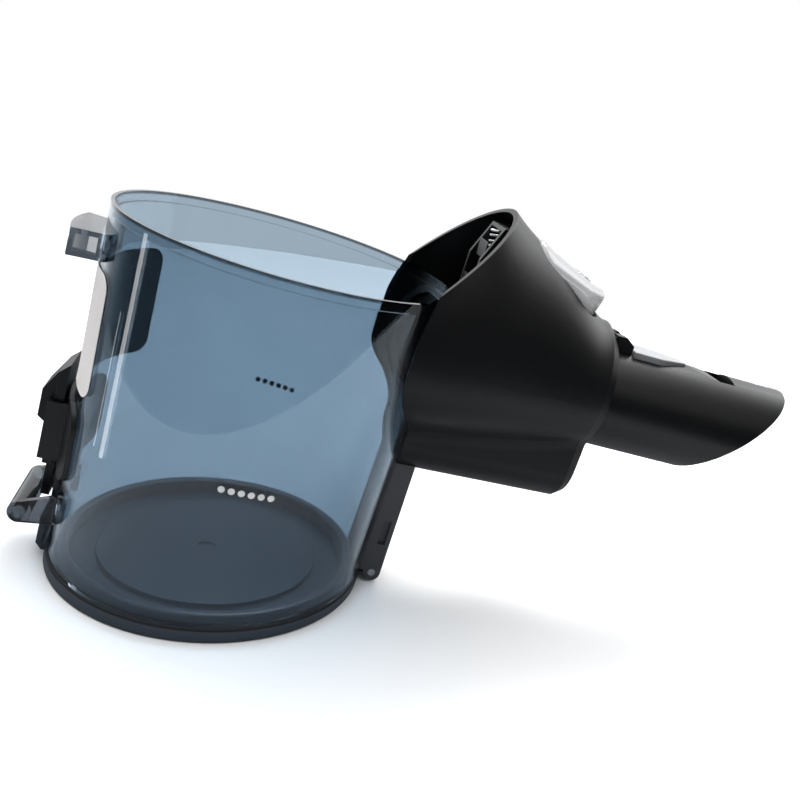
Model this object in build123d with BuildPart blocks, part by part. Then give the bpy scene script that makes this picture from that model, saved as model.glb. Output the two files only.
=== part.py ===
from build123d import *
from math import cos, radians, sin, sqrt, tan
import os

os.makedirs("parts", exist_ok=True)

# Driving dimensions, in millimetres and degrees.
# The lid lies level on z = 0. The cup leans over it, towards +X, where the suction tube is.

# Cup
lean = 8.3
cup_height = 110.9
rim_radius = 53.5
foot_radius = 51.1
cup_wall = 2.0
rim_lip = 1.1
rim_step = 3.2
seat = 0.05
running_gap = 0.4
blank_margin = 6.0
blank_rise = 40.0
wire_sides = 8

# Loop moulded on the rear wall below the rim
loop_height = 8.2
loop_reach = 9.6
loop_wall = 1.5
loop_arc = 26.0
loop_below_rim = 14.0

# Bail moulded on the rear wall above the lid
bail_width = 28.0
bail_cheek = 2.0
bail_reach = 8.8
bail_level = 9.3
bail_bar_width = 7.0
bail_bar_height = 7.2
bail_bar_wall = 1.3
bail_root_low = 9.0
bail_root_high = 22.0

# Lid and its seal
lid_flange = 3.4
lid_plate = 2.2
lid_overhang = 0.55
plug_height = 4.0
plug_wall = 3.6
plug_gap = 0.7
plug_round = 1.2
plateau_radius = 36.0
plateau_height = 1.4
gate_radius = 3.0
gate_depth = 0.5
seal_thickness = 1.0
seal_overhang = 0.3
tongue_gap = 1.2
tongue_thickness = 2.0
tongue_width = 14.0
tongue_top = 5.5

# Lid hinge at the front
hinge_reach = 3.8
hinge_ground_gap = 0.4
knuckle_radius = 3.0
lid_knuckle_width = 9.6
pin_radius = 1.25
pin_press = 0.03
pin_run = 0.06
rail_width = 21.0
rail_window_height = 9.0
rail_window_level = 27.0
rail_window_width = 2.6
rail_window_depth = 1.2

# Thumb latch on the rear wall
base_thickness = 1.5
base_width = 43.0
base_low = 10.0
base_shoulder = 24.0
base_high = 50.0
base_neck_width = 22.0
base_corner = 7.0
guide_low = 27.0
guide_high = 46.0
guide_wall = 1.5
guide_lip = 1.4
guide_lip_thickness = 1.1
slider_gap = 0.5
slider_width = 16.0
slider_plate = 3.0
slider_low = 24.7
slider_high = 58.5
thumb_width = 12.6
thumb_reach = 7.2
thumb_low = 36.3
thumb_high = 48.4
rod_width = 8.0
rod_thickness = 2.7
latch_travel = 6.0
latch_stop = 0.5
pocket_width = 4.6
ledge_height = 2.0
ledge_level = 28.0
latch_spring_radius = 1.6
latch_spring_wire = 0.55
latch_spring_length = 15.5
latch_spring_turns = 6

# Blank sticker on the rear wall
label_width = 62.0
label_above_base = 4.5
label_below_loop = 0.8
label_corner = 5.0
label_thickness = 0.25
label_glue = 0.1
label_turn = -7.0

# Suction tube and the duct behind it, with distances from the cup's rim
tube_level = 90.2
tube_radius = 17.53
tube_wall = 2.0
tube_reach = 124.5
tube_reach_below = 93.5
duct_width = 52.0
duct_corner = 13.0
duct_reach = 28.5
flange_width = 60.0
flange_height = 37.0
flange_thickness = 2.0
gasket_thickness = 1.0
ramp_start = 88.0
ramp_depth = 1.4
slot_start = 98.0
slot_end = 103.5
slot_width = 13.0
slot_depth = 3.6
slot_floor = 1.6

# Light insert on top of the tube
insert_start = 64.6
insert_waist = 74.2
insert_end = 85.5
insert_width = 14.0
insert_tip_width = 5.0
insert_floor = 1.3
insert_thickness = 2.2
insert_round = 0.4

# Black hood round the tube
hood_wall = 2.2
hood_root = -13.5
hood_root_top = 130.0
hood_root_bottom = 63.0
hood_shoulder = -1.5
hood_shoulder_taper = 0.5
hood_crown = 10.5
hood_crown_taper = 2.8
hood_front = 54.0
hood_front_margin = 2.8
hood_flange_room = 3.6
hood_middle = 93.0
hood_nose = 3.0
hood_nose_inset = 1.6
keel_bottom = 49.4
keel_front_bottom = 51.3
keel_width = 33.0
keel_front_width = 28.0
keel_round = 12.0
keel_bend = 3.0
keel_bend_drop = 6.0
apex_x = 11.1
apex_z = 140.1
mouth_slant = 51.0
slope_start_x = 12.5
slope_start_z = 140.0
slope_drop = 31.2

# Release button on the hood's slope
button_start = 10.5
button_length = 29.5
button_width = 24.0
button_corner = 7.0
button_low = 1.1
button_high = 4.5
button_crown = 16.0
button_skirt = 5.2
button_pocket_room = 0.8
button_round = 0.9
button_window_gap = 0.5
button_front_gap = 1.8
button_swing_room = 9.0
lever_width = 10.0
lever_pivot_along = 14.0
lever_pivot_below = 10.0
lever_boss = 3.2
lever_arm = 2.2
tail_x = 5.0
tail_z = 123.6
tail_thickness = 3.0
hook_height = 2.4
lever_spring_x = 9.7
lever_spring_radius = 3.0
lever_spring_wire = 0.7
lever_spring_length = 6.4
lever_spring_turns = 4
post_width = 17.0
post_cheek = 2.0
post_start = 3.5
post_end = 24.5
post_base = 1.6
post_seat = 1.0

# Contacts on top of the tube, and their leads
block_tail_length = 8.1
block_length = 6.6
block_width = 12.0
block_height = 4.4
block_tail_width = 11.0
block_tail_height = 3.5
block_slot = 4.4
contact_thickness = 0.6
contact_pitch = 2.2
contact_height = 2.0
socket_length = 9.0
socket_width = 12.0
socket_height = 7.5
socket_slot = 3.0
socket_slot_depth = 5.0
lead_radius = 0.8
lead_pitch = 5.0
lead_rise = 2.6

half_turn = 180

# The cup's frame: z along the cup's axis, x towards the tube
CUP = Plane.XY.rotated((0, lean, 0))
cup_axis = Axis((0, 0, 0), CUP.z_dir)
blank_depth = foot_radius * tan(radians(lean)) + blank_margin
blank_height = cup_height + blank_rise


def cup_plane(plane):
    """The given plane, seen from the cup's frame."""
    return Plane(CUP.location * plane.location)


def turned_side(angle):
    """Plane through the cup's axis, turned about it, with x outwards and y up the axis."""
    return Plane(CUP.location * Location((0, 0, 0), (0, 0, angle)) * Plane.XZ.location)


def across(x):
    """Plane across the tube's direction, with x sideways and y up the cup's axis."""
    return cup_plane(Plane.YZ.offset(x))


def ahead(x):
    """Plane across the tube's direction, at a distance in front of the cup's rim."""
    return across(rim_radius + x)


SIDE = cup_plane(Plane.XZ)
FRONT = Plane(CUP.location * Location((rim_radius, 0, 0)))
FRONT_SIDE = Plane(FRONT.location * Plane.XZ.location)


def cup_radius(z):
    """Outer radius of the cup's wall at a height on its axis."""
    return foot_radius + (rim_radius - foot_radius) * z / cup_height


def cup_blank(growth):
    """Solid cone that follows the cup's outside, grown by a clearance."""
    with BuildPart() as blank:
        with BuildSketch(SIDE):
            with BuildLine():
                Polyline(
                    (0, -blank_depth),
                    (cup_radius(-blank_depth) + growth, -blank_depth),
                    (cup_radius(blank_height) + growth, blank_height),
                    (0, blank_height),
                    close=True,
                )
            make_face()
        revolve(axis=cup_axis)
    return blank.part


def level_ring(z, radius):
    """Outline that a leaning cylinder of this radius cuts in the level plane at z."""
    with BuildSketch(Plane.XY.offset(z)) as ring:
        with Locations((z * tan(radians(lean)), 0)):
            Ellipse(radius / cos(radians(lean)), radius)
    return ring.sketch


def lift(height):
    """Length along the leaning axis that gains this much level height."""
    return height / cos(radians(lean))


# Sizes that follow from the driving ones
lid_radius = foot_radius + lid_overhang
plug_radius = foot_radius - cup_wall - plug_gap
seat_level = lid_flange + seal_thickness + seat
hinge_x = lid_radius / cos(radians(lean)) + hinge_reach
hinge_z = knuckle_radius + hinge_ground_gap
hinge = CUP.to_local_coords(Vector(hinge_x, 0, hinge_z))
loop_level = cup_height - loop_below_rim
bail_bar_x = cup_radius(bail_level) + bail_reach
flange_front = gasket_thickness + flange_thickness
tube_top = tube_level + tube_radius
tube_bore = tube_radius - tube_wall


# Smoked cup: wall, rear loop, rear bail and the inlet window
with BuildPart() as bin_shell:
    add(cup_blank(0))
    split(bisect_by=cup_plane(Plane.XY.offset(cup_height)), keep=Keep.BOTTOM)
    loop_root = cup_radius(loop_level)
    with BuildSketch(turned_side(half_turn - loop_arc / 2)):
        with Locations((loop_root + loop_reach / 2 - cup_wall / 2, loop_level)):
            Rectangle(loop_reach + cup_wall, loop_height)
    revolve(axis=cup_axis, revolution_arc=loop_arc)
    with BuildSketch(turned_side(half_turn - loop_arc)):
        with Locations((loop_root + loop_reach / 2, loop_level)):
            Rectangle(loop_reach - 2 * loop_wall, loop_height - 2 * loop_wall)
    revolve(axis=cup_axis, revolution_arc=2 * loop_arc, mode=Mode.SUBTRACT)
    with BuildSketch(SIDE):
        with BuildLine():
            Polyline(
                (-foot_radius + bail_width / 2, bail_root_high),
                (-bail_bar_x, bail_level + bail_bar_height / 2),
                (-bail_bar_x, bail_level - bail_bar_height / 2),
                (-foot_radius + bail_width / 2, bail_root_low),
                close=True,
            )
        make_face()
        with Locations((-bail_bar_x, bail_level)):
            Ellipse(bail_bar_width / 2, bail_bar_height / 2)
    extrude(amount=bail_width / 2, both=True)
    with BuildSketch(SIDE):
        with Locations((-bail_bar_x, bail_level)):
            Ellipse(bail_bar_width / 2 - bail_bar_wall, bail_bar_height / 2 - bail_bar_wall)
    extrude(amount=bail_width, both=True, mode=Mode.SUBTRACT)
    with BuildSketch(SIDE):
        with Locations((-bail_bar_x / 2 - bail_bar_width / 2, bail_level)):
            Rectangle(bail_bar_x, 2 * bail_root_high)
        with Locations((-bail_bar_x, bail_level)):
            Ellipse(bail_bar_width / 2, bail_bar_height / 2, mode=Mode.SUBTRACT)
    extrude(amount=bail_width / 2 - bail_cheek, both=True, mode=Mode.SUBTRACT)
    add(cup_blank(0))
    split(bisect_by=cup_plane(Plane.XY.offset(cup_height)), keep=Keep.BOTTOM)
    with BuildSketch(SIDE):
        with BuildLine():
            Polyline(
                (0, -blank_depth),
                (cup_radius(-blank_depth) - cup_wall, -blank_depth),
                (cup_radius(cup_height - rim_step) - cup_wall, cup_height - rim_step),
                (rim_radius - rim_lip, cup_height - rim_step),
                (rim_radius - rim_lip, cup_height),
                (0, cup_height),
                close=True,
            )
        make_face()
    revolve(axis=cup_axis, mode=Mode.SUBTRACT)
    with BuildSketch(across(foot_radius / 2)):
        with Locations((0, tube_level)):
            RectangleRounded(
                duct_width - 2 * tube_wall, 2 * tube_bore, duct_corner - tube_wall / 2
            )
    extrude(amount=foot_radius, mode=Mode.SUBTRACT)
    split(bisect_by=Plane.XY.offset(seat_level), keep=Keep.TOP)
bin_shell.part.label = "bin_shell"
export_step(bin_shell.part, "parts/bin_shell.step")

# Bottom lid: flange, plug ring, plateau, hinge knuckle and rear tongue
tongue_in = foot_radius + tongue_gap
tongue_out = tongue_in + tongue_thickness
tongue_foot = CUP.to_local_coords(Vector(-lid_radius, 0, lid_flange)).Z
with BuildPart() as lid_panel:
    extrude(level_ring(0, lid_radius), amount=lift(lid_flange), dir=CUP.z_dir)
    extrude(level_ring(lid_flange, plug_radius), amount=lift(plug_height), dir=CUP.z_dir)
    extrude(
        level_ring(lid_plate, plug_radius - plug_wall),
        amount=lift(lid_flange + plug_height),
        dir=CUP.z_dir,
        mode=Mode.SUBTRACT,
    )
    extrude(level_ring(lid_plate, plateau_radius), amount=lift(plateau_height), dir=CUP.z_dir)
    fillet(
        lid_panel.faces().filter_by(Axis.Z).sort_by(Axis.Z)[-1].edges(), radius=plug_round
    )
    with Locations((0, 0, lid_plate + plateau_height)):
        Hole(gate_radius, depth=gate_depth)
    with BuildSketch(Plane.XZ):
        with Locations((hinge_x, hinge_z)):
            Circle(knuckle_radius)
        with Locations((hinge_x - hinge_reach, (hinge_ground_gap + lid_flange) / 2)):
            Rectangle(2 * hinge_reach, lid_flange - hinge_ground_gap)
    extrude(amount=lid_knuckle_width / 2, both=True)
    with BuildSketch(Plane.XZ):
        with Locations((hinge_x, hinge_z)):
            Circle(pin_radius + pin_run)
    extrude(amount=rail_width, both=True, mode=Mode.SUBTRACT)
    with BuildSketch(SIDE):
        with BuildLine():
            Polyline(
                (-tongue_out, tongue_top),
                (-tongue_in, tongue_top),
                (-tongue_in, tongue_foot),
                (-plug_radius, tongue_foot),
                (-plug_radius, tongue_foot - lid_plate),
                (-tongue_in, tongue_foot - lid_plate),
                (-tongue_out, tongue_foot),
                close=True,
            )
        make_face()
    extrude(amount=tongue_width / 2, both=True)
lid_panel.part.label = "lid_panel"
export_step(lid_panel.part, "parts/lid_panel.step")

with BuildPart() as lid_seal:
    extrude(
        level_ring(lid_flange, foot_radius + seal_overhang),
        amount=lift(seal_thickness),
        dir=CUP.z_dir,
    )
    extrude(
        level_ring(lid_flange, plug_radius + seat),
        amount=lift(seal_thickness),
        dir=CUP.z_dir,
        mode=Mode.SUBTRACT,
    )
lid_seal.part.label = "lid_seal"
export_step(lid_seal.part, "parts/lid_seal.step")

# Hinge pin of the lid
with BuildPart() as hinge_pin:
    with BuildSketch(SIDE):
        with Locations((hinge.X, hinge.Z)):
            Circle(pin_radius)
    extrude(amount=rail_width / 2, both=True)
hinge_pin.part.label = "hinge_pin"
export_step(hinge_pin.part, "parts/hinge_pin.step")

# Guide plate of the thumb latch, with two hooked guides and the spring ledge
base_middle = (base_shoulder + base_high) / 2
base_face = cup_radius(base_high) + base_thickness
slider_back = base_face + slider_gap
slider_front = slider_back + slider_plate
guide_inside = slider_width / 2 + running_gap
pocket_low = ledge_level - running_gap
pocket_high = ledge_level + ledge_height + latch_spring_length + seat
with BuildPart() as latch_base:
    with BuildSketch(across(0)):
        with Locations((0, base_middle)):
            RectangleRounded(base_width, base_high - base_shoulder, base_corner)
        with Locations((0, (base_low + base_high) / 2)):
            RectangleRounded(base_neck_width, base_high - base_low, base_corner)
    extrude(amount=-2 * rim_radius)
    add(cup_blank(base_thickness), mode=Mode.INTERSECT)
    for hand in (-1, 1):
        with BuildSketch(across(-foot_radius)):
            with Locations((hand * (guide_inside + guide_wall / 2), (guide_low + guide_high) / 2)):
                Rectangle(guide_wall, guide_high - guide_low)
        extrude(amount=foot_radius - slider_front - running_gap - guide_lip_thickness)
        with BuildSketch(across(-slider_front - running_gap)):
            with Locations(
                (hand * (guide_inside + (guide_wall - guide_lip) / 2), (guide_low + guide_high) / 2)
            ):
                Rectangle(guide_lip + guide_wall, guide_high - guide_low)
        extrude(amount=-guide_lip_thickness)
    with BuildSketch(across(-foot_radius)):
        with Locations((0, ledge_level + ledge_height / 2)):
            Rectangle(pocket_width - 2 * running_gap, ledge_height)
    extrude(amount=foot_radius - slider_front + running_gap)
    add(cup_blank(seat), mode=Mode.SUBTRACT)
latch_base.part.label = "latch_base"
export_step(latch_base.part, "parts/latch_base.step")

# Thumb slider with the push rod that reaches down to the lid's tongue
rod_low = tongue_top + latch_stop + latch_travel
rod_back = cup_radius(base_shoulder) + base_thickness + slider_gap
thumb_face = slider_back + thumb_reach
with BuildPart() as latch_slider:
    with BuildSketch(SIDE):
        with BuildLine():
            Polyline(
                (-slider_back, slider_low),
                (-slider_front, slider_low),
                (-slider_front, slider_high - slider_plate),
                (-slider_back, slider_high),
                close=True,
            )
        make_face()
    extrude(amount=slider_width / 2, both=True)
    with BuildSketch(SIDE):
        with BuildLine():
            Polyline(
                (-slider_back, slider_high),
                (-slider_front, slider_high - slider_plate),
                (-thumb_face, thumb_high),
                (-thumb_face, thumb_low + slider_plate),
                (-slider_front, thumb_low),
                (-slider_back, thumb_low),
                close=True,
            )
        make_face()
    extrude(amount=thumb_width / 2, both=True)
    with BuildSketch(SIDE):
        with Locations((-rod_back - rod_thickness / 2, (rod_low + thumb_low) / 2)):
            Rectangle(rod_thickness, thumb_low - rod_low)
    extrude(amount=rod_width / 2, both=True)
    with BuildSketch(across(-rod_back + slider_gap)):
        with Locations((0, (pocket_low + pocket_high) / 2)):
            Rectangle(pocket_width, pocket_high - pocket_low)
    extrude(amount=rod_back - slider_gap - slider_front - running_gap, mode=Mode.SUBTRACT)
    add(cup_blank(base_thickness + running_gap), mode=Mode.SUBTRACT)
latch_slider.part.label = "latch_slider"
export_step(latch_slider.part, "parts/latch_slider.step")


def coil(foot, radius, wire, length, turns):
    """Spring of round wire that stands on a plane, with its ends inside the length."""
    with BuildPart() as spring:
        with BuildLine():
            path = Helix(
                pitch=(length - wire) / turns,
                height=length - wire,
                radius=radius,
                center=foot.offset(wire / 2).origin,
                direction=foot.z_dir,
            )
        with BuildSketch(Plane(origin=path @ 0, z_dir=path % 0)):
            RegularPolygon(wire / 2, wire_sides)
        sweep(path=path, is_frenet=True)
    return spring


latch_spring_x = -(slider_back + slider_front) / 2
latch_spring_foot = cup_plane(
    Plane((latch_spring_x, 0, ledge_level + ledge_height + seat / 2))
)
latch_spring = coil(
    latch_spring_foot,
    latch_spring_radius - latch_spring_wire / 2,
    latch_spring_wire,
    latch_spring_length,
    latch_spring_turns,
)
latch_spring.part.label = "latch_spring"
export_step(latch_spring.part, "parts/latch_spring.step")

# Blank sticker that follows the rear wall
label_low = base_high + label_above_base
label_high = loop_level - loop_height / 2 - label_below_loop
with BuildPart() as rear_label:
    with BuildSketch(cup_plane(Plane.YZ.rotated((0, 0, label_turn)))):
        with Locations((0, (label_low + label_high) / 2)):
            RectangleRounded(label_width, label_high - label_low, label_corner)
    extrude(amount=-2 * rim_radius)
    add(cup_blank(label_glue + label_thickness), mode=Mode.INTERSECT)
    add(cup_blank(label_glue), mode=Mode.SUBTRACT)
rear_label.part.label = "rear_label"
export_step(rear_label.part, "parts/rear_label.step")

# Suction tube with its oblique mouth, and the duct and flange behind it
duct_root = -rim_radius / 2
mouth_lean = (tube_reach - tube_reach_below) / (2 * tube_radius)


def insert_plan(growth):
    """Outline of the insert, seen from above, grown by a clearance."""
    with BuildSketch(Plane(FRONT.location * Location((0, 0, tube_top - insert_floor)))) as plan:
        with BuildLine():
            Polyline(
                (insert_start - growth, insert_width / 2 + growth),
                (insert_waist, insert_width / 2 + growth),
                (insert_end + growth, insert_tip_width / 2 + growth),
                (insert_end + growth, -insert_tip_width / 2 - growth),
                (insert_waist, -insert_width / 2 - growth),
                (insert_start - growth, -insert_width / 2 - growth),
                close=True,
            )
        make_face()
    return plan.sketch


with BuildPart() as inlet_pipe:
    with BuildSketch(ahead(duct_reach)):
        with Locations((0, tube_level)):
            Circle(tube_radius)
    extrude(amount=tube_reach - duct_reach)
    for x, width, corner in (
        (duct_root, duct_width, duct_corner),
        (duct_reach, 2 * tube_radius, tube_radius - seat),
    ):
        with BuildSketch(ahead(x)):
            with Locations((0, tube_level)):
                RectangleRounded(width, 2 * tube_radius, corner)
    loft()
    with BuildSketch(ahead(duct_root)):
        with Locations((0, tube_level)):
            SlotOverall(flange_width, flange_height)
    extrude(amount=flange_front - duct_root)
    with BuildSketch(ahead(duct_reach)):
        with Locations((0, tube_level)):
            Circle(tube_bore)
    extrude(amount=tube_reach, mode=Mode.SUBTRACT)
    for x, width, corner in (
        (duct_root, duct_width - 2 * tube_wall, duct_corner - tube_wall / 2),
        (duct_reach, 2 * tube_bore, tube_bore - seat),
    ):
        with BuildSketch(ahead(x)):
            with Locations((0, tube_level)):
                RectangleRounded(width, 2 * tube_bore, corner)
    loft(mode=Mode.SUBTRACT)
    with BuildSketch(ahead(ramp_start)):
        with Locations((0, tube_level)):
            Circle(tube_radius - tube_wall / 2)
        with Locations((0, tube_top - slot_depth - slot_floor + tube_radius)):
            Rectangle(slot_width + 2 * slot_floor, 2 * tube_radius, mode=Mode.INTERSECT)
    extrude(amount=slot_end + slot_floor - ramp_start)
    with BuildSketch(FRONT_SIDE):
        with BuildLine():
            Polyline(
                (ramp_start, tube_top + slot_depth),
                (ramp_start, tube_top),
                (slot_start, tube_top - ramp_depth),
                (slot_start, tube_top + slot_depth),
                close=True,
            )
        make_face()
    extrude(amount=tube_radius, both=True, mode=Mode.SUBTRACT)
    with BuildSketch(FRONT_SIDE):
        with Locations(((slot_start + slot_end) / 2, tube_top)):
            Rectangle(slot_end - slot_start, 2 * slot_depth)
    extrude(amount=slot_width / 2, both=True, mode=Mode.SUBTRACT)
    extrude(insert_plan(seat), amount=tube_radius, mode=Mode.SUBTRACT)
    with BuildSketch(FRONT_SIDE):
        with BuildLine():
            Polyline(
                (tube_reach_below - mouth_lean * tube_radius, tube_level - 2 * tube_radius),
                (tube_reach + mouth_lean * tube_radius, tube_top + tube_radius),
                (tube_reach + 2 * tube_radius, tube_level - 2 * tube_radius),
                close=True,
            )
        make_face()
    extrude(amount=2 * tube_radius, both=True, mode=Mode.SUBTRACT)
    add(cup_blank(gasket_thickness + seat), mode=Mode.SUBTRACT)
inlet_pipe.part.label = "inlet_pipe"
export_step(inlet_pipe.part, "parts/inlet_pipe.step")

with BuildPart() as inlet_gasket:
    with BuildSketch(ahead(duct_root)):
        with Locations((0, tube_level)):
            SlotOverall(flange_width, flange_height)
            RectangleRounded(duct_width, 2 * tube_bore, duct_corner, mode=Mode.SUBTRACT)
    extrude(amount=rim_radius)
    add(cup_blank(gasket_thickness), mode=Mode.INTERSECT)
    add(cup_blank(seat), mode=Mode.SUBTRACT)
inlet_gasket.part.label = "inlet_gasket"
export_step(inlet_gasket.part, "parts/inlet_gasket.step")

with BuildPart() as tube_insert:
    extrude(insert_plan(0), amount=insert_thickness)
    fillet(tube_insert.faces().sort_by(cup_axis)[-1].edges(), radius=insert_round)
tube_insert.part.label = "tube_insert"
export_step(tube_insert.part, "parts/tube_insert.step")


# Black hood: one lofted shell round the duct, with a keel below and a slanted open top
SLOPE = Plane(
    FRONT.location
    * Plane(
        origin=(slope_start_x, 0, slope_start_z),
        x_dir=(cos(radians(slope_drop)), 0, -sin(radians(slope_drop))),
        z_dir=(sin(radians(slope_drop)), 0, cos(radians(slope_drop))),
    ).location
)
MOUTH = Plane(
    FRONT.location
    * Plane(
        origin=(apex_x, 0, apex_z),
        x_dir=(cos(radians(mouth_slant)), 0, sin(radians(mouth_slant))),
        z_dir=(-sin(radians(mouth_slant)), 0, cos(radians(mouth_slant))),
    ).location
)


def on_slope(along, above):
    """Point of the middle plane, given along the hood's slope and above its surface."""
    drop = radians(slope_drop)
    return (
        slope_start_x + along * cos(drop) + above * sin(drop),
        slope_start_z - along * sin(drop) + above * cos(drop),
    )


def ridge(x):
    """Height of the hood's slope at a distance from the rim."""
    return slope_start_z - (x - slope_start_x) * tan(radians(slope_drop))


def hood_section(x, half, middle, top, bottom, keel_half, keel_foot):
    """Section of the hood: an egg that bends into the sides of a round keel."""
    bend_out = keel_half + keel_bend
    flank_out = (half + bend_out) / 2

    def flank(y):
        return middle - (middle - bottom) * sqrt(1 - (y / half) ** 2)

    keel_side = flank(bend_out) - keel_bend_drop
    keel_turn = min(keel_foot + keel_round, keel_side - seat)
    with BuildSketch(ahead(x)) as section:
        with BuildLine():
            EllipticalCenterArc(
                (0, middle), half, top - middle, start_angle=0, arc_size=half_turn
            )
            Spline(
                (-half, middle),
                (-flank_out, flank(flank_out)),
                (-bend_out, flank(bend_out)),
                (-keel_half, keel_side),
                tangents=[(0, -1), (0, -1)],
            )
            Line((-keel_half, keel_side), (-keel_half, keel_turn))
            EllipticalCenterArc(
                (0, keel_turn),
                keel_half,
                keel_turn - keel_foot,
                start_angle=half_turn,
                arc_size=half_turn,
            )
            Line((keel_half, keel_turn), (keel_half, keel_side))
            Spline(
                (keel_half, keel_side),
                (bend_out, flank(bend_out)),
                (flank_out, flank(flank_out)),
                (half, middle),
                tangents=[(0, 1), (0, 1)],
            )
        make_face()
    return section.sketch


hood_root_half = flange_width / 2 + hood_flange_room + hood_wall
hood_front_half = tube_radius + hood_front_margin
hood_steps = 3


def hood_taper(x, start, start_value, front_value):
    """Value on a straight taper from a station of the hood to its front."""
    return start_value + (front_value - start_value) * (x - start) / (hood_front - start)


def hood_station(x, half, top, skin):
    """Section at one station, thinner by a skin on every side."""
    return hood_section(
        x,
        half - skin,
        hood_taper(x, hood_root, hood_middle, tube_level),
        top - skin,
        hood_taper(x, hood_root, hood_root_bottom, tube_level - hood_front_half) + skin,
        hood_taper(x, hood_root, keel_width, keel_front_width) / 2 - skin,
        hood_taper(x, hood_root, keel_bottom, keel_front_bottom) + skin,
    )


def hood_sections(skin, back, front):
    """Sections of the hood from the cup to its front."""
    crown_half = hood_root_half - hood_crown_taper
    sections = [
        hood_station(hood_root - back, hood_root_half, hood_root_top, skin),
        hood_station(
            hood_shoulder, hood_root_half - hood_shoulder_taper, ridge(hood_shoulder), skin
        ),
    ]
    for step in range(hood_steps + 1):
        x = hood_crown + (hood_front - front - hood_crown) * step / hood_steps
        half = hood_taper(x, hood_crown, crown_half, hood_front_half)
        sections.append(hood_station(x, half, ridge(x), skin))
    return sections


button_depth = hood_wall + running_gap
block_face = hood_front + hood_nose + 2 * seat
block_start = block_face - block_tail_length
block_end = block_face + block_length
block_tail_top = tube_top + block_tail_height
with BuildPart() as nozzle_housing:
    front_sections = hood_sections(0, 0, 0)
    loft(front_sections)
    loft(
        [
            front_sections[-1],
            hood_section(
                hood_front + hood_nose,
                hood_front_half - hood_nose_inset,
                tube_level,
                ridge(hood_front + hood_nose) - hood_nose_inset,
                tube_level - hood_front_half + hood_nose_inset,
                keel_front_width / 2 - hood_nose_inset,
                keel_front_bottom + hood_nose_inset,
            ),
        ]
    )
    loft(hood_sections(hood_wall, hood_wall, hood_wall), mode=Mode.SUBTRACT)
    with BuildSketch(ahead(hood_front - hood_nose)):
        with Locations((0, tube_level)):
            Circle(tube_radius + seat)
        with Locations((0, (tube_level + block_tail_top + seat) / 2)):
            Rectangle(block_tail_width + 2 * seat, block_tail_top + seat - tube_level)
    extrude(amount=3 * hood_nose, mode=Mode.SUBTRACT)
    with BuildSketch(SLOPE.offset(-button_swing_room)):
        with Locations(
            (button_start + (button_length + button_front_gap - button_window_gap) / 2, 0)
        ):
            RectangleRounded(
                button_length + button_front_gap + button_window_gap,
                button_width + 2 * button_window_gap,
                button_corner + button_window_gap,
            )
    extrude(amount=2 * button_swing_room, mode=Mode.SUBTRACT)
    split(bisect_by=MOUTH, keep=Keep.BOTTOM)
    add(cup_blank(seat), mode=Mode.SUBTRACT)
nozzle_housing.part.label = "nozzle_housing"
export_step(nozzle_housing.part, "parts/nozzle_housing.step")

# Strip on the front wall with the two fixed hinge knuckles
rail_face = hinge.X + knuckle_radius
rail_top = keel_bottom + keel_round / 2
with BuildPart() as hinge_rail:
    with BuildSketch(SIDE):
        with Locations(((foot_radius - cup_wall + rail_face) / 2, (hinge.Z + rail_top) / 2)):
            Rectangle(rail_face - foot_radius + cup_wall, rail_top - hinge.Z)
        with Locations((hinge.X, hinge.Z)):
            Circle(knuckle_radius)
    extrude(amount=rail_width / 2, both=True)
    add(cup_blank(seat), mode=Mode.SUBTRACT)
    loft(hood_sections(-seat, 0, 0), mode=Mode.SUBTRACT)
    with BuildSketch(Plane.XZ):
        with Locations((hinge_x - 1.5 * knuckle_radius, seat_level - knuckle_radius)):
            Rectangle(2 * knuckle_radius, 2 * knuckle_radius)
        with Locations((hinge_x, hinge_z)):
            Circle(knuckle_radius, mode=Mode.SUBTRACT)
    extrude(amount=rail_width, both=True, mode=Mode.SUBTRACT)
    with BuildSketch(SIDE):
        with Locations((hinge.X, hinge.Z)):
            Rectangle(
                4 * knuckle_radius + 2 * running_gap, 2 * (knuckle_radius + running_gap)
            )
    extrude(amount=lid_knuckle_width / 2 + running_gap, both=True, mode=Mode.SUBTRACT)
    with BuildSketch(SIDE):
        with Locations((hinge.X, hinge.Z)):
            Circle(pin_radius + pin_press)
    extrude(amount=rail_width, both=True, mode=Mode.SUBTRACT)
    for hand in (-1, 1):
        with BuildSketch(SIDE.offset(hand * rail_width / 2)):
            with Locations((hinge.X, rail_window_level)):
                Rectangle(rail_window_width, rail_window_height)
        extrude(amount=-hand * rail_window_depth, mode=Mode.SUBTRACT)
hinge_rail.part.label = "hinge_rail"
export_step(hinge_rail.part, "parts/hinge_rail.step")

# Light push button, crowned across and standing proud at its lower end
button_rise = Plane(
    SLOPE.location
    * Plane(
        origin=(button_start - button_length, 0, 2 * button_low - button_high - button_crown),
        x_dir=(0, 1, 0),
        z_dir=(button_length, 0, button_high - button_low),
    ).location
)
with BuildPart() as release_button:
    with BuildSketch(SLOPE.offset(-button_skirt)):
        with Locations((button_start + button_length / 2, 0)):
            RectangleRounded(button_length, button_width, button_corner)
    extrude(amount=button_skirt + 2 * button_high)
    with BuildSketch(button_rise):
        Circle(button_crown)
    extrude(amount=3 * button_length, mode=Mode.INTERSECT)
    fillet(
        release_button.faces().sort_by(Axis(SLOPE.origin, SLOPE.z_dir))[-1].edges(),
        radius=button_round,
    )
    with BuildSketch(SLOPE.offset(-button_depth)):
        with Locations((button_start + button_length / 2, 0)):
            Rectangle(2 * button_length, post_width + 2 * button_pocket_room)
    extrude(amount=-button_skirt, mode=Mode.SUBTRACT)
release_button.part.label = "release_button"
export_step(release_button.part, "parts/release_button.step")


def tail_top(x):
    """Height of the lever's level seat for the spring."""
    return tail_z + tail_thickness + (x - tail_x) * tan(radians(lean))


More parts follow.
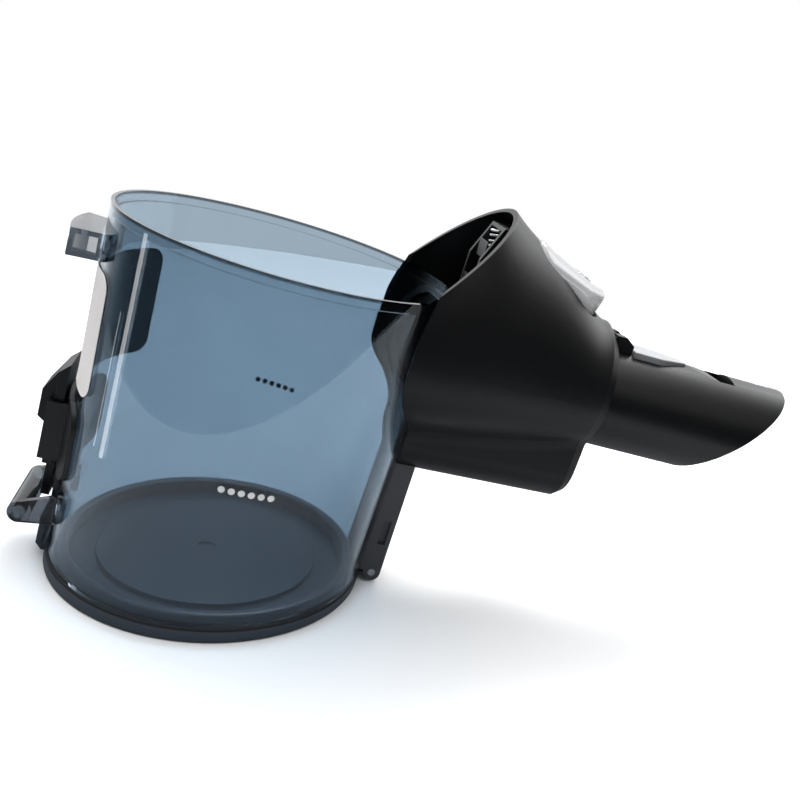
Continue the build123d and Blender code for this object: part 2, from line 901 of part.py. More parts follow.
# Lever below the button, with its hook at the open top
pivot = on_slope(lever_pivot_along, -lever_pivot_below)
lever_front = button_start + button_length - button_corner
spring_edge = lever_spring_x + lever_spring_radius + lever_spring_wire
with BuildPart() as release_lever:
    with BuildSketch(FRONT_SIDE):
        with BuildLine():
            Polyline(
                on_slope(lever_front, -button_depth),
                on_slope(lever_front, -button_depth - lever_arm),
                (pivot[0] + lever_boss, pivot[1] - lever_boss / 2),
                (pivot[0], pivot[1] - lever_boss),
                (tail_x, tail_z),
                (tail_x, tail_top(tail_x) + hook_height),
                (tail_x + hook_height / 2, tail_top(tail_x)),
                (spring_edge, tail_top(spring_edge)),
                on_slope(lever_pivot_along + lever_boss, -button_depth),
                close=True,
            )
        make_face()
        with Locations(pivot):
            Circle(lever_boss)
            Circle(pin_radius + pin_run, mode=Mode.SUBTRACT)
    extrude(amount=lever_width / 2, both=True)
release_lever.part.label = "release_lever"
export_step(release_lever.part, "parts/release_lever.step")

with BuildPart() as lever_pin:
    with BuildSketch(FRONT_SIDE):
        with Locations(pivot):
            Circle(pin_radius)
    extrude(amount=post_width / 2, both=True)
lever_pin.part.label = "lever_pin"
export_step(lever_pin.part, "parts/lever_pin.step")

spring_foot = FRONT.from_local_coords(Vector(lever_spring_x, 0, tail_top(lever_spring_x)))
release_spring = coil(
    Plane(spring_foot + Vector(0, 0, seat / 2)),
    lever_spring_radius - lever_spring_wire / 2,
    lever_spring_wire,
    lever_spring_length,
    lever_spring_turns,
)
release_spring.part.label = "release_spring"
export_step(release_spring.part, "parts/release_spring.step")

# Rib frame on the duct: two cheeks that hold the pin, and the spring's upper seat
spring_head = FRONT.to_local_coords(spring_foot + Vector(0, 0, lever_spring_length + seat))


def seat_height(x):
    """Height of the level seat above the spring."""
    return spring_head.Z + (x - spring_head.X) * tan(radians(lean))


with BuildPart() as spring_post:
    with BuildSketch(FRONT_SIDE):
        with BuildLine():
            Polyline(
                (post_start, tube_top + seat),
                (post_end, tube_top + seat),
                (post_end, pivot[1]),
                (pivot[0] + lever_boss, pivot[1] + lever_boss),
                (spring_edge, spring_head.Z + post_seat),
                (spring_head.X - lever_spring_wire, spring_head.Z + post_seat),
                (post_start, tail_z),
                close=True,
            )
        make_face()
        with Locations(pivot):
            Circle(pin_radius + pin_press, mode=Mode.SUBTRACT)
    extrude(amount=post_width / 2, both=True)
    with BuildSketch(FRONT_SIDE):
        with BuildLine():
            Polyline(
                (duct_root, tube_top + seat + post_base),
                (2 * post_end, tube_top + seat + post_base),
                (2 * post_end, 2 * spring_head.Z),
                (spring_edge + seat, 2 * spring_head.Z),
                (spring_edge + seat, seat_height(spring_edge)),
                (duct_root, seat_height(duct_root)),
                close=True,
            )
        make_face()
    extrude(amount=post_width / 2 - post_cheek, both=True, mode=Mode.SUBTRACT)
spring_post.part.label = "spring_post"
export_step(spring_post.part, "parts/spring_post.step")

# Socket in the open top, and the two leads that run from it over the duct
socket_low = tube_top + post_base + 2 * seat
socket_end = post_start + socket_length
with BuildPart() as docking_socket:
    with BuildSketch(ahead(post_start)):
        with Locations((0, socket_low + socket_height / 2)):
            Rectangle(socket_width, socket_height)
    extrude(amount=socket_length)
    with BuildSketch(ahead(post_start)):
        with Locations((0, socket_low + socket_height / 2)):
            with GridLocations(lead_pitch, 0, 2, 1):
                Rectangle(socket_slot, socket_slot)
    extrude(amount=socket_slot_depth, mode=Mode.SUBTRACT)
docking_socket.part.label = "docking_socket"
export_step(docking_socket.part, "parts/docking_socket.step")

with BuildPart() as lead_wires:
    with BuildSketch(ahead(socket_end)):
        with Locations((0, tube_top + lead_rise)):
            with GridLocations(lead_pitch, 0, 2, 1):
                Circle(lead_radius)
    extrude(amount=block_start - socket_end)
lead_wires.part.label = "lead_wires"
export_step(lead_wires.part, "parts/lead_wires.step")

# Contact block on top of the tube, with two fins in front of the hood
with BuildPart() as contact_block:
    with BuildSketch(ahead(block_start)):
        with Locations((0, (tube_level + block_tail_top) / 2)):
            Rectangle(block_tail_width, block_tail_top - tube_level)
    extrude(amount=block_face - block_start)
    with BuildSketch(FRONT_SIDE):
        with BuildLine():
            Polyline(
                (block_face, tube_level),
                (block_face, tube_top + block_height),
                ((block_face + block_end) / 2, tube_top + block_height),
                (block_end, tube_top + block_height / 2),
                (block_end, tube_level),
                close=True,
            )
        make_face()
    extrude(amount=block_width / 2, both=True)
    with BuildSketch(ahead(block_face + contact_thickness)):
        with Locations((0, tube_top + block_height / 2)):
            Rectangle(block_slot, 2 * block_height)
    extrude(amount=block_end, mode=Mode.SUBTRACT)
    with BuildSketch(ahead(block_start)):
        with Locations((0, tube_level)):
            Circle(tube_radius + seat)
    extrude(amount=block_end, mode=Mode.SUBTRACT)
contact_block.part.label = "contact_block"
export_step(contact_block.part, "parts/contact_block.step")

with BuildPart() as contact_pins:
    with BuildSketch(ahead(block_face + contact_thickness)):
        with Locations((0, tube_top + block_height / 2)):
            with GridLocations(contact_pitch, 0, 2, 1):
                Rectangle(contact_thickness, contact_height)
    extrude(amount=block_end - block_face - 2 * contact_thickness)
contact_pins.part.label = "contact_pins"
export_step(contact_pins.part, "parts/contact_pins.step")
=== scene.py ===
from math import atan2, cos, pi, radians, sin

import bmesh
import bpy
from mathutils import Matrix, Vector


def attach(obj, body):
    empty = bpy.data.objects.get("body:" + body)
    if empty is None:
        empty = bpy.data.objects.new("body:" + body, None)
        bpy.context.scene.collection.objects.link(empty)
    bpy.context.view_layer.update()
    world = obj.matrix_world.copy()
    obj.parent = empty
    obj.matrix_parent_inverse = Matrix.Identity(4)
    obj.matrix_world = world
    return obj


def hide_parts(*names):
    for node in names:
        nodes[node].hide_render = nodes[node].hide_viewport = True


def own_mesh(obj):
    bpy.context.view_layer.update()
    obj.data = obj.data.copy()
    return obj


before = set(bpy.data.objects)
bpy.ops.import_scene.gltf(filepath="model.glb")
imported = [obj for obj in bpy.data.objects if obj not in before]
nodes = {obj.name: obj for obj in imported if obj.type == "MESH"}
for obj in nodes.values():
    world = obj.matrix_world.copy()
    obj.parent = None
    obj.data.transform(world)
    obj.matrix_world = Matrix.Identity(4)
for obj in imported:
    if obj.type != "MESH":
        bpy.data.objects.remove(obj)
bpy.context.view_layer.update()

MM = 0.001

# Sizes shared with the solids, in millimetres and degrees
lean = 8.3
cup_height = 110.9
rim_radius = 53.5
foot_radius = 51.1

# Depth of the painted shade line round the cup's rim
rim_shade_depth = 1.2

# The cup's frame: z along its axis, x towards the tube
CUP = Matrix.Rotation(radians(lean), 4, "Y")


class Value:
    """A socket of a finish. Arithmetic on it adds Math nodes."""

    def __init__(self, finish, socket):
        self.finish = finish
        self.socket = socket

    def math(self, operation, *operands):
        sockets = dict(enumerate(operands))
        return self.finish.node("ShaderNodeMath", {"operation": operation}, sockets)

    def __add__(self, other):
        return self.math("ADD", self, other)

    def __sub__(self, other):
        return self.math("SUBTRACT", self, other)

    def __rsub__(self, other):
        return self.math("SUBTRACT", other, self)

    def __mul__(self, other):
        return self.math("MULTIPLY", self, other)

    __radd__ = __add__
    __rmul__ = __mul__


class Finish:
    """The nodes of a material or of the studio's surroundings."""

    def __init__(self, holder):
        self.holder = holder
        self.holder.use_nodes = True
        self.tree = self.holder.node_tree
        self.tree.nodes.clear()

    def node(self, kind, settings=None, sockets=None, output=0):
        """Adds a node: its settings first, then the values or links of its sockets."""
        made = self.tree.nodes.new(kind)
        for key, value in (settings or {}).items():
            setattr(made, key, value)
        for key, value in (sockets or {}).items():
            if isinstance(value, Value):
                self.tree.links.new(value.socket, made.inputs[key])
            else:
                made.inputs[key].default_value = value
        return Value(self, made.outputs[output]) if made.outputs else made

    def where(self):
        """Where a point is on its piece, in metres."""
        return self.node("ShaderNodeTexCoord", output="Object")

    def noise(self, size, detail=3.0, roughness=0.55):
        """Soft noise from 0 to 1, with blotches of about this size in millimetres."""
        return self.node(
            "ShaderNodeTexNoise",
            {},
            {
                "Vector": self.where(),
                "Scale": 1 / (size * MM),
                "Detail": detail,
                "Roughness": roughness,
            },
        )

    def blend(self, factor, first, second):
        """Mix of two colours."""
        return self.node(
            "ShaderNodeMix",
            {"data_type": "RGBA"},
            {0: factor, 6: paint(first), 7: paint(second)},
            output=2,
        )

    def clamp(self, value, low, high):
        """Ramps a value to 0 below low and to 1 above high."""
        return self.node(
            "ShaderNodeMapRange",
            {"clamp": True},
            {"Value": value, "From Min": low, "From Max": high},
        )

    def show(self, shader):
        """Puts a shader on the surface and gives back the material."""
        self.node("ShaderNodeOutputMaterial", {}, {"Surface": shader})
        return self.holder


def paint(colour):
    """A colour for a socket, with its fourth channel."""
    return colour if isinstance(colour, Value) else (*colour, 1)


def fresh(name):
    """A new material to build up."""
    return Finish(bpy.data.materials.new(name))


def cup_place(f):
    """How far a point is outside the cup's wall, and its height on the cup's axis, in metres."""
    along, across, up = (
        f.node("ShaderNodeSeparateXYZ", {}, {0: f.where()}, output=axis) for axis in "XYZ"
    )
    lean_cos, lean_sin = cos(radians(lean)), sin(radians(lean))
    out = lean_cos * along - lean_sin * up
    height = lean_sin * along + lean_cos * up
    squared = out * out + across * across
    radius = squared.math("SQRT", squared)
    depth = radius - foot_radius * MM - (rim_radius - foot_radius) / cup_height * height
    return depth, height


# Moulded plastic: sizes in millimetres, the rest as shares
soft_edge = 0.35
soft_edge_samples = 4
cloud_size = 38.0
cloud_tone = 0.35
cloud_dullness = 0.14
scuff_size = 6.5
scuff_range = (0.60, 0.78)
scuff_tone = 0.25
scuff_dullness = 0.06
grain_strength = 0.5
coat_dullness = 0.12


def moulded(name, tone, worn, rough, grain=0.45, relief=0.06, gloss=0.5, coat=0.0):
    """Spark-eroded plastic: fine grain, soft edges, cloudiness and slightly lighter scuffs."""
    f = fresh(name)
    edge = f.node("ShaderNodeBevel", {"samples": soft_edge_samples}, {"Radius": soft_edge * MM})
    cloud = f.noise(cloud_size, detail=2.0)
    speck = f.noise(grain, detail=2.0, roughness=0.6)
    scuff = f.clamp(f.noise(scuff_size, detail=6.0, roughness=0.72), *scuff_range)
    colour = f.blend(cloud_tone * cloud + scuff_tone * scuff, tone, worn)
    bump = f.node(
        "ShaderNodeBump",
        {},
        {
            "Strength": grain_strength,
            "Distance": relief * MM,
            "Height": speck,
            "Normal": edge,
        },
    )
    smooth = rough - cloud_dullness / 2
    shader = f.node(
        "ShaderNodeBsdfPrincipled",
        {},
        {
            "Base Color": colour,
            "Roughness": smooth + cloud_dullness * cloud + scuff_dullness * scuff,
            "Specular IOR Level": gloss,
            "Coat Weight": coat,
            "Coat Roughness": coat_dullness,
            "Normal": bump,
        },
    )
    return f.show(shader)


# Smoked plastic: tints of a thin wall, of the painted shade along its rim, of the thick mouldings
# on it, and of the lamps' light that comes through. Sizes in millimetres, the rest as shares
thin_tints = (0.288, 0.367, 0.436), (0.312, 0.396, 0.465)
rim_shade_tint = (0.085, 0.105, 0.125)
thick_tint = (0.055, 0.066, 0.080)
lamp_tint = (0.55, 0.63, 0.71)
rim_shade_full = 0.6
thick_range = (0.3, 0.8)
haze_size = 30.0
hairline_scale = 500.0
hairline_stretch = (1.0, 1.0, 0.08)
scratch_range = (0.66, 0.80)
polish = 0.002
haze_dullness = 0.004
scratch_dullness = 0.010
smoked_ior = 1.45
smoked_gloss = 0.33


def smoked(name):
    """Clear smoked plastic: tinted right through, with a faint haze and hairline scratches."""
    f = fresh(name)
    haze = f.noise(haze_size)
    hairline = f.node(
        "ShaderNodeTexNoise",
        {},
        {
            "Vector": f.node(
                "ShaderNodeVectorMath",
                {"operation": "MULTIPLY"},
                {0: f.where(), 1: hairline_stretch},
            ),
            "Scale": hairline_scale,
            "Detail": 2.0,
        },
    )
    scratch = f.clamp(hairline, *scratch_range)
    depth, height = cup_place(f)
    thick = f.clamp(depth, *(edge * MM for edge in thick_range))
    # Painted shade: the wall turns dark towards the top of the rim
    rim_shade = f.clamp(
        height, (cup_height - rim_shade_depth) * MM, (cup_height - rim_shade_full * rim_shade_depth) * MM
    )
    wall_colour = f.blend(rim_shade, f.blend(haze, *thin_tints), rim_shade_tint)
    glass = f.node(
        "ShaderNodeBsdfPrincipled",
        {},
        {
            "Base Color": f.blend(thick, wall_colour, thick_tint),
            "Roughness": polish + haze_dullness * haze + scratch_dullness * scratch,
            "IOR": smoked_ior,
            "Transmission Weight": 1.0,
            "Specular IOR Level": smoked_gloss,
        },
    )
    clear = f.node("ShaderNodeBsdfTransparent", {}, {"Color": paint(lamp_tint)})
    lamp = f.node("ShaderNodeLightPath", output="Is Shadow Ray")
    return f.show(f.node("ShaderNodeMixShader", {}, {0: lamp, 1: glass, 2: clear}))


# Metal: size of its fine streaks in millimetres, the rest as shares
streak_size = 0.8
streak_shade = 0.82
streak_dullness = 0.12


def metal(name, tone, rough, bare=1.0):
    """Drawn or plated metal with fine streaks."""
    f = fresh(name)
    streak = f.noise(streak_size, detail=4.0, roughness=0.65)
    shade = tuple(streak_shade * channel for channel in tone)
    shader = f.node(
        "ShaderNodeBsdfPrincipled",
        {},
        {
            "Base Color": f.blend(streak, tone, shade),
            "Metallic": bare,
            "Roughness": rough - streak_dullness / 2 + streak_dullness * streak,
        },
    )
    return f.show(shader)


black_hood = moulded(
    "black_hood", (0.0042, 0.0045, 0.0054), (0.010, 0.0105, 0.012), 0.40, gloss=0.32
)
black_tube = moulded(
    "black_tube", (0.0045, 0.0048, 0.0056), (0.011, 0.0115, 0.013), 0.33, gloss=0.36
)
black_frame = moulded(
    "black_frame", (0.0050, 0.0053, 0.0060), (0.011, 0.011, 0.0125), 0.38, gloss=0.38
)
charcoal_rail = moulded("charcoal_rail", (0.045, 0.047, 0.051), (0.068, 0.070, 0.075), 0.36)
lid_grey = moulded(
    "lid_grey", (0.022, 0.033, 0.046), (0.036, 0.053, 0.071), 0.34, grain=0.6, relief=0.02
)
button_grey = moulded(
    "button_grey",
    (0.262, 0.265, 0.271),
    (0.305, 0.305, 0.312),
    0.30,
    grain=0.7,
    relief=0.02,
    coat=0.35,
)
insert_grey = moulded(
    "insert_grey", (0.29, 0.30, 0.315), (0.38, 0.385, 0.395), 0.40, relief=0.03
)
rubber = moulded("rubber", (0.010, 0.010, 0.011), (0.024, 0.024, 0.025), 0.72, grain=0.9)
lead_cover = moulded("lead_cover", (0.016, 0.016, 0.018), (0.034, 0.034, 0.036), 0.5)
smoked_wall = smoked("smoked_wall")
bright_steel = metal("bright_steel", (0.74, 0.745, 0.76), 0.24)
spring_wire = metal("spring_wire", (0.92, 0.92, 0.93), 0.42, bare=0.45)
contact_plate = metal("contact_plate", (0.86, 0.70, 0.40), 0.28)


# Sticker: warm white paper outside, and painted shade in dark grey on its side towards the cup.
# Sizes in millimetres
paper_tints = (0.92, 0.875, 0.865), (0.96, 0.92, 0.91)
back_shade_tint = (0.045, 0.042, 0.042)
back_shade_range = (0.18, 0.28)
paper_cloud = 25.0
paper_rough = 0.38
paper_dullness = 0.12


def sticker(name):
    """White sticker, with painted shade in dark grey on its glued side."""
    f = fresh(name)
    depth, _ = cup_place(f)
    # Painted shade: the side towards the cup is dark grey
    front = f.clamp(depth, *(edge * MM for edge in back_shade_range))
    cloud = f.noise(paper_cloud, detail=2.0)
    face = f.blend(cloud, *paper_tints)
    shader = f.node(
        "ShaderNodeBsdfPrincipled",
        {},
        {
            "Base Color": f.blend(front, back_shade_tint, face),
            "Roughness": paper_rough + paper_dullness * cloud,
        },
    )
    return f.show(shader)


label_paper = sticker("label_paper")

finishes = {
    "bin_shell": smoked_wall,
    "lid_panel": lid_grey,
    "lid_seal": rubber,
    "hinge_rail": charcoal_rail,
    "hinge_pin": bright_steel,
    "latch_base": black_frame,
    "latch_slider": black_hood,
    "latch_spring": bright_steel,
    "rear_label": label_paper,
    "inlet_pipe": black_tube,
    "inlet_gasket": rubber,
    "tube_insert": insert_grey,
    "nozzle_housing": black_hood,
    "release_button": button_grey,
    "release_lever": black_frame,
    "lever_pin": bright_steel,
    "release_spring": spring_wire,
    "spring_post": black_frame,
    "docking_socket": black_frame,
    "lead_wires": lead_cover,
    "contact_block": black_frame,
    "contact_pins": contact_plate,
}
for node, finish in finishes.items():
    mesh = nodes[node].data
    mesh.materials.clear()
    mesh.materials.append(finish)


def keep(name, mesh, body, slot, *materials):
    """A finished mesh as a piece that rides on a body."""
    data = bpy.data.meshes.new(name)
    mesh.to_mesh(data)
    mesh.free()
    for material in materials:
        data.materials.append(material)
    piece = bpy.data.objects.new(name, data)
    bpy.context.scene.collection.objects.link(piece)
    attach(piece, body)
    return piece


def cup_radius(z):
    """Outer radius of the cup's wall at a height on its axis."""
    return foot_radius + (rim_radius - foot_radius) * z / cup_height


def wall_spot(angle, z, out):
    """Frame on the cup's wall: z outwards, x round the cup, y up the wall. In metres."""
    turn = radians(angle)
    flare = atan2(rim_radius - foot_radius, cup_height)
    around = Vector((-sin(turn), cos(turn), 0))
    up = Vector((cos(turn) * sin(flare), sin(turn) * sin(flare), cos(flare)))
    outwards = around.cross(up)
    reach = cup_radius(z) + out
    at = Vector((reach * cos(turn), reach * sin(turn), z)) * MM
    spot = Matrix((around, up, outwards)).transposed().to_4x4()
    spot.translation = at
    return CUP @ spot


# Fill marks printed on the outside of the cup: white ink, with painted shade in near black on the
# back and sides of each dot
dot_radius = 1.0
dot_sides = 28
dot_rise = 0.05
dot_ink = 0.05
white_ink = moulded("white_ink", (0.84, 0.84, 0.84), (0.9, 0.9, 0.9), 0.45, relief=0.01)
# Painted shade: the dots' backs, seen from inside the cup, are near black
dot_back_shade = moulded("dot_back_shade", (0.012, 0.014, 0.017), (0.02, 0.02, 0.022), 0.5, relief=0.01)


def fill_marks(name, angles, z):
    """A row of printed dots along the cup's wall."""
    row = bmesh.new()
    for angle in angles:
        spot = wall_spot(angle, z, dot_rise)
        low, high = [], []
        for side in range(dot_sides):
            turn = 2 * pi * side / dot_sides
            x, y = dot_radius * cos(turn), dot_radius * sin(turn)
            drop = x * x / (2 * cup_radius(z))
            low.append(row.verts.new(spot @ (Vector((x, y, -drop)) * MM)))
            high.append(row.verts.new(spot @ (Vector((x, y, dot_ink - drop)) * MM)))
        row.faces.new(high).material_index = 0
        row.faces.new(low[::-1]).material_index = 1
        for side in range(dot_sides):
            after = (side + 1) % dot_sides
            edge = row.faces.new((low[side], low[after], high[after], high[side]))
            edge.material_index = 1
    return keep(name, row, "cup", "label_paper", white_ink, dot_back_shade)


dot_step = 3.06
dot_count = 6
near_start, near_level = -94.2, 49.55
far_start, far_level = 84.5, 49.3
fill_marks(
    "fill_marks_near", [near_start + dot_step * dot for dot in range(dot_count)], near_level
)
fill_marks("fill_marks_far", [far_start - dot_step * dot for dot in range(dot_count)], far_level)

# Push button: a crowned cap whose front follows the arc of its swing
slope_drop = 31.2
slope_start = (66.0, 0.0, 140.0)
SLOPE = (
    CUP
    @ Matrix.Translation(Vector(slope_start) * MM)
    @ Matrix.Rotation(radians(slope_drop), 4, "Y")
)
button_start = 10.5
button_length = 27.4
button_width = 24.0
button_corner = 6.5
crest_back = 1.1
crest_lift = 4.3
edge_back = -3.0
edge_lift = 5.4
edge_turn = 0.42
button_foot = -4.6
button_ceiling = -2.1
ceiling_share = 0.5
button_shell = 1.6
button_edge = 1.3
button_insets = (1.6, 2.6, 4.0, 5.6, 7.2, 8.8, 10.4, 11.4)
smallest_corner = 0.4
pivot_below = 10.0
swing = 28.5
swing_top = 4.5
front_lean = 3.3
lean_gather = 3
corner_steps = 10
edge_steps = 5


def cap_outline(inset):
    """Rounded outline of the cap, seen square to the slope, moved in by an inset."""
    corner = max(button_corner - inset, smallest_corner)
    half_length = button_length / 2 - inset
    half_width = button_width / 2 - inset
    outline = []
    for quarter, (sx, sy) in enumerate(((1, 1), (-1, 1), (-1, -1), (1, -1))):
        for step in range(corner_steps + 1):
            turn = pi / 2 * (quarter + step / corner_steps)
            outline.append(
                (
                    sx * (half_length - corner) + corner * cos(turn),
                    sy * (half_width - corner) + corner * sin(turn),
                )
            )
    return outline


def cap_top(along, across):
    """Height of the cap's crown over the slope."""
    share = along / button_length + 0.5
    crest = crest_back + crest_lift * max(share, 0.0) ** 2
    rise = min(max((share - edge_turn) / (1 - edge_turn), 0.0), 1.0)
    edge = edge_back + edge_lift * rise * rise * (3 - 2 * rise)
    return crest - (crest - edge) * (2 * across / button_width) ** 2


def cap_point(along, across, height):
    """Point of the cap, with its front leaning along the arc of the swing."""
    reach = (swing**2 - (min(height, swing_top) + pivot_below) ** 2) ** 0.5
    flat = (swing**2 - (swing_top + pivot_below) ** 2) ** 0.5
    front = max(0.0, along / (button_length / 2)) ** lean_gather
    shift = min(reach - flat, front_lean) * front
    place = Vector((button_start + button_length / 2 + along + shift, across, height))
    return SLOPE @ (place * MM)


def button_cap():
    """Closed shell of the push button."""
    cap = bmesh.new()
    rings = []
    ceiling = cap_outline(button_shell)
    rings.append([(x, y, button_ceiling + ceiling_share * cap_top(x, y)) for x, y in ceiling])
    rings.append([(x, y, button_foot) for x, y in ceiling])
    rings.append([(x, y, button_foot) for x, y in cap_outline(0)])
    for step in range(edge_steps + 1):
        turn = pi / 2 * step / edge_steps
        inset = button_edge * (1 - cos(turn))
        below = button_edge * (1 - sin(turn))
        rings.append([(x, y, cap_top(x, y) - below) for x, y in cap_outline(inset)])
    for inset in button_insets:
        rings.append([(x, y, cap_top(x, y)) for x, y in cap_outline(inset)])
    made = [[cap.verts.new(cap_point(*point)) for point in ring] for ring in rings]
    count = len(made[0])
    for low, high in zip(made, made[1:]):
        for place in range(count):
            after = (place + 1) % count
            cap.faces.new((low[place], low[after], high[after], high[place]))
    cap.faces.new(made[-1])
    cap.faces.new(made[0][::-1])
    for face in cap.faces:
        face.smooth = True
    bmesh.ops.recalc_face_normals(cap, faces=cap.faces)
    return cap


cap = keep("push_button", button_cap(), "release", "button_plastic", button_grey)
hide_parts("release_button")

# Grip ribs across the button, just behind its raised lip
rib_rows = (3.6, 5.6, 7.6)
rib_reach = 4.2
rib_half = 0.45
rib_rise = 0.35
rib_sink = 0.3
rib_steps = 16
rib_sides = 8
rib_tip = 0.02
rib_squareness = 6


def grip_ribs():
    """Low rounded ribs that follow the crown of the cap."""
    ribs = bmesh.new()
    for row in rib_rows:
        rings = []
        for step in range(rib_steps + 1):
            share = 2 * step / rib_steps - 1
            taper = max(1 - share**rib_squareness, rib_tip) ** 0.5
            across = rib_reach * share
            ring = []
            for side in range(rib_sides + 1):
                turn = pi * side / rib_sides
                along = row + rib_half * taper * cos(turn)
                rise = rib_rise * taper * sin(turn)
                ring.append((along, across, cap_top(along, across) + rise))
            ring.append((row - rib_half * taper, across, cap_top(row, across) - rib_sink))
            ring.append((row + rib_half * taper, across, cap_top(row, across) - rib_sink))
            rings.append([ribs.verts.new(cap_point(*point)) for point in ring])
        count = len(rings[0])
        for before, after in zip(rings, rings[1:]):
            for place in range(count):
                beside = (place + 1) % count
                ribs.faces.new((before[place], before[beside], after[beside], after[place]))
        ribs.faces.new(rings[0])
        ribs.faces.new(rings[-1][::-1])
    for face in ribs.faces:
        face.smooth = True
    bmesh.ops.recalc_face_normals(ribs, faces=ribs.faces)
    return ribs


grip = keep("button_grip", grip_ribs(), "release", "button_plastic", button_grey)

# Coil springs with closed ends
coil_steps = 28
wire_sides = 10
end_turns = 0.75
end_pitch = 1.03


def coil(foot, radius, wire, length, turns):
    """Round wire wound up from a foot frame to a length, with its ends inside that length."""
    wound = bmesh.new()
    rings = []
    steps = turns * coil_steps
    closed = end_turns * end_pitch * wire
    for step in range(steps + 1):
        turn = step / coil_steps
        if turn < end_turns:
            height = end_pitch * wire * turn
        elif turn > turns - end_turns:
            height = length - wire - end_pitch * wire * (turns - turn)
        else:
            share = (turn - end_turns) / (turns - 2 * end_turns)
            height = closed + share * (length - wire - 2 * closed)
        outwards = Vector((cos(2 * pi * turn), sin(2 * pi * turn), 0))
        middle = (radius - wire / 2) * outwards + Vector((0, 0, wire / 2 + height))
        ring = []
        for side in range(wire_sides):
            around = 2 * pi * side / wire_sides
            point = middle + wire / 2 * (cos(around) * outwards + Vector((0, 0, sin(around))))
            ring.append(wound.verts.new(foot @ (point * MM)))
        rings.append(ring)
    for before, after in zip(rings, rings[1:]):
        for side in range(wire_sides):
            beside = (side + 1) % wire_sides
            face = wound.faces.new((before[side], before[beside], after[beside], after[side]))
            face.smooth = True
    wound.faces.new(rings[0])
    wound.faces.new(rings[-1][::-1])
    bmesh.ops.recalc_face_normals(wound, faces=wound.faces)
    return wound


# The latch's spring stands on the guide plate's ledge, and the slider presses it down
latch_stand = (-55.68, 0.0, 30.03)
latch_radius = 1.6
latch_wire = 0.55
latch_length = 15.5
latch_turns = 7
latch_foot = CUP @ Matrix.Translation(Vector(latch_stand) * MM)
latch_coil = keep(
    "latch_coil",
    coil(latch_foot, latch_radius, latch_wire, latch_length, latch_turns),
    "cup",
    "steel",
    bright_steel,
)
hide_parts("latch_spring")
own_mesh(latch_coil)

# The release's spring hangs under the rib frame's seat, and the lever's tail presses it up
release_stand = (80.91, 0.0, 116.86)
release_radius = 3.0
release_wire = 0.7
release_length = 6.38
release_turns = 4
release_foot = Matrix.Translation(Vector(release_stand) * MM)
release_coil = keep(
    "release_coil",
    coil(release_foot, release_radius, release_wire, release_length, release_turns),
    "cup",
    "steel",
    spring_wire,
)
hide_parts("release_spring")
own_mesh(release_coil)

# Pale round floor, in metres, which shows darker in the bin's gloss than to the eye. Its drop
# below the bin and its cloudiness are in millimetres
floor_radius = 0.40
floor_middle = (0.0, 0.19)
floor_sides = 160
floor_drop = 0.4
floor_cloud = 400.0
floor_rough = 0.75
floor_gloss = 0.1
floor_tints = (0.90, 0.90, 0.90), (0.93, 0.93, 0.93)
floor_mirror_tints = (0.46, 0.47, 0.50), (0.11, 0.115, 0.125)
floor_mirror_range = (-0.26, -0.14)
floor_finish = fresh("floor")
pale = floor_finish.blend(floor_finish.noise(floor_cloud, detail=2.0), *floor_tints)
floor_shader = floor_finish.node(
    "ShaderNodeBsdfPrincipled",
    {},
    {"Base Color": pale, "Roughness": floor_rough, "Specular IOR Level": floor_gloss},
)
floor_depth = floor_finish.node(
    "ShaderNodeSeparateXYZ", {}, {0: floor_finish.where()}, output="Y"
)
floor_back = floor_finish.clamp(floor_depth, *floor_mirror_range)
floor_tone = floor_finish.blend(floor_back, *floor_mirror_tints)
floor_dim = floor_finish.node("ShaderNodeBsdfDiffuse", {}, {"Color": floor_tone})
in_gloss = floor_finish.node("ShaderNodeLightPath", output="Is Glossy Ray")
through = floor_finish.node("ShaderNodeLightPath", output="Is Transmission Ray")
mirrored = in_gloss * (1 - through)
floor_material = floor_finish.show(
    floor_finish.node("ShaderNodeMixShader", {}, {0: mirrored, 1: floor_shader, 2: floor_dim})
)
floor_mesh = bmesh.new()
bmesh.ops.create_circle(floor_mesh, cap_ends=True, segments=floor_sides, radius=floor_radius)
floor_data = bpy.data.meshes.new("floor")
floor_mesh.to_mesh(floor_data)
floor_mesh.free()
floor_data.materials.append(floor_material)
floor = bpy.data.objects.new("floor", floor_data)
floor.location = (*floor_middle, -floor_drop * MM)
bpy.context.scene.collection.objects.link(floor)

# The room: plain white to the eye and straight through the glass. For light and gloss it has
# a bright backdrop behind the bin, a dim ceiling, and is dark in front
room_tint = (0.97, 0.985, 1.0)
room_dark = 0.03
backdrop_light = 1.2
backdrop_ahead = (0.10, 0.70)
backdrop_above = (-0.75, -0.30)
backdrop_aside = (-0.92, -0.55)
ceiling_light = 0.25
ceiling_above = (0.10, 0.90)
glass_light = 0.15
room = Finish(bpy.data.worlds.new("studio"))
heading = room.node("ShaderNodeTexCoord", output="Generated")
aside, ahead, above = (
    room.node("ShaderNodeSeparateXYZ", {}, {0: heading}, output=axis) for axis in "XYZ"
)
backdrop = room.clamp(ahead, *backdrop_ahead) * room.clamp(above, *backdrop_above)
backdrop = backdrop * room.clamp(aside, *backdrop_aside)
ceiling = room.clamp(above, *ceiling_above)
seen = room.node("ShaderNodeLightPath", output="Is Camera Ray")
past_glass = room.node("ShaderNodeLightPath", output="Is Transmission Ray")
mirrors = room.node("ShaderNodeLightPath", output="Glossy Depth")
behind_glass = past_glass * (1 - room.clamp(mirrors, 0.0, 1.0))
glow = room_dark + backdrop_light * backdrop + ceiling_light * ceiling
dim = room.node("ShaderNodeBackground", {}, {"Color": paint(room_tint), "Strength": glow})
plain = room.node(
    "ShaderNodeBackground",
    {},
    {"Color": (1.0, 1.0, 1.0, 1), "Strength": 1.0 + glass_light * behind_glass},
)
room.node(
    "ShaderNodeOutputWorld",
    {},
    {"Surface": room.node("ShaderNodeMixShader", {}, {0: seen + behind_glass, 1: dim, 2: plain})},
)
bpy.context.scene.world = room.holder


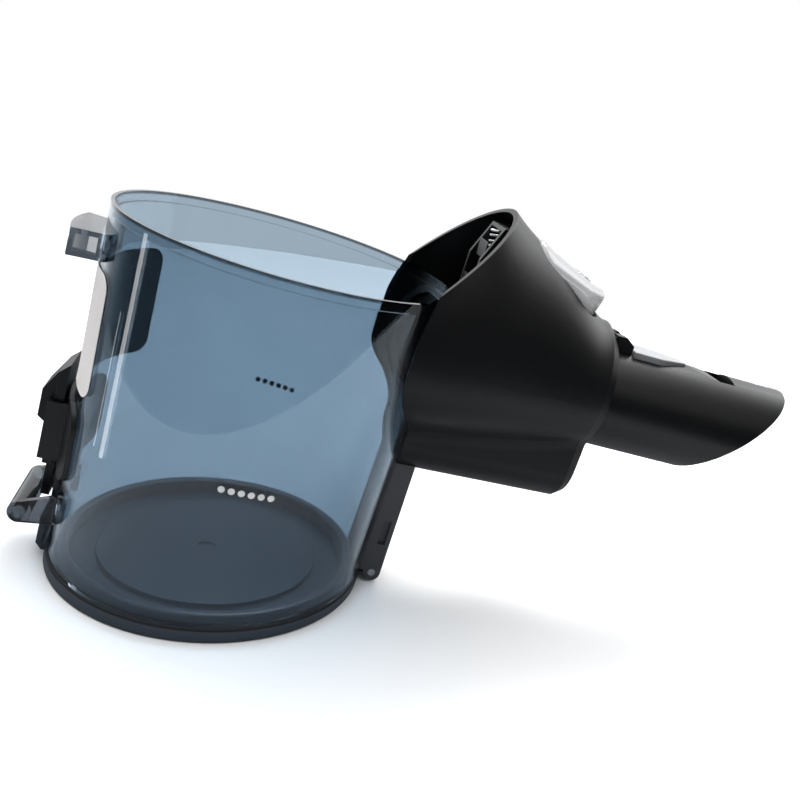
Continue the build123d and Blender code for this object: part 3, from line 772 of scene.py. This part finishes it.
def softbox(name, at, aim, width, height, power):
    """A rectangular studio lamp that points at a place, in metres and watts."""
    lamp = bpy.data.lights.new(name, "AREA")
    lamp.shape = "RECTANGLE"
    lamp.size = width
    lamp.size_y = height
    lamp.energy = power
    holder = bpy.data.objects.new(name, lamp)
    holder.location = at
    holder.rotation_euler = (Vector(aim) - Vector(at)).to_track_quat("-Z", "Y").to_euler()
    holder.visible_camera = False
    bpy.context.scene.collection.objects.link(holder)
    return holder


softbox("overhead", (0.05, 0.25, 1.5), (0.04, 0.05, 0.0), 2.2, 2.2, 34.0)
softbox("right_back", (1.1, 0.44, 0.6), (0.1, 0.0, 0.1), 0.8, 0.8, 4.0)
softbox("front_fill", (0.6, -0.9, 0.9), (0.08, 0.0, 0.08), 1.0, 1.0, 1.6)
softbox("tube_streak", (0.24, 0.35, 0.6), (0.16, 0.0, 0.09), 0.5, 0.15, 3.0)
softbox("left_strip", (-0.1615, -0.016, 0.054), (0.0, -0.016, 0.054), 0.010, 0.098, 0.016)
softbox("left_line", (-0.1605, 0.0083, 0.038), (0.0, 0.0083, 0.038), 0.003, 0.06, 0.0015)

# A fill for the pale button alone, as a shaded lamp gives
button_fill = softbox("button_fill", (0.2, -0.9, 0.2), (0.1, 0.0, 0.12), 0.8, 0.8, 8.0)
pale_pieces = bpy.data.collections.new("pale_pieces")
pale_pieces.objects.link(cap)
pale_pieces.objects.link(grip)
button_fill.light_linking.receiver_collection = pale_pieces

# Camera where the photograph was taken from
camera_data = bpy.data.cameras.new("camera")
camera_data.sensor_width = 36.0
camera_data.lens = 40.64
camera_data.clip_start = 0.01
camera_place = (0.0055, -0.2801, 0.1579)
camera = bpy.data.objects.new("camera", camera_data)
right = Vector((0.9792, -0.1312, 0.1551))
up = Vector((-0.1031, 0.3368, 0.9359))
back = Vector((-0.1750, -0.9324, 0.3162))
facing = Matrix((right, up, back)).transposed().to_4x4()
camera.matrix_world = Matrix.Translation(camera_place) @ facing
bpy.context.scene.collection.objects.link(camera)
bpy.context.scene.camera = camera
bpy.context.scene.view_settings.view_transform = "Standard"
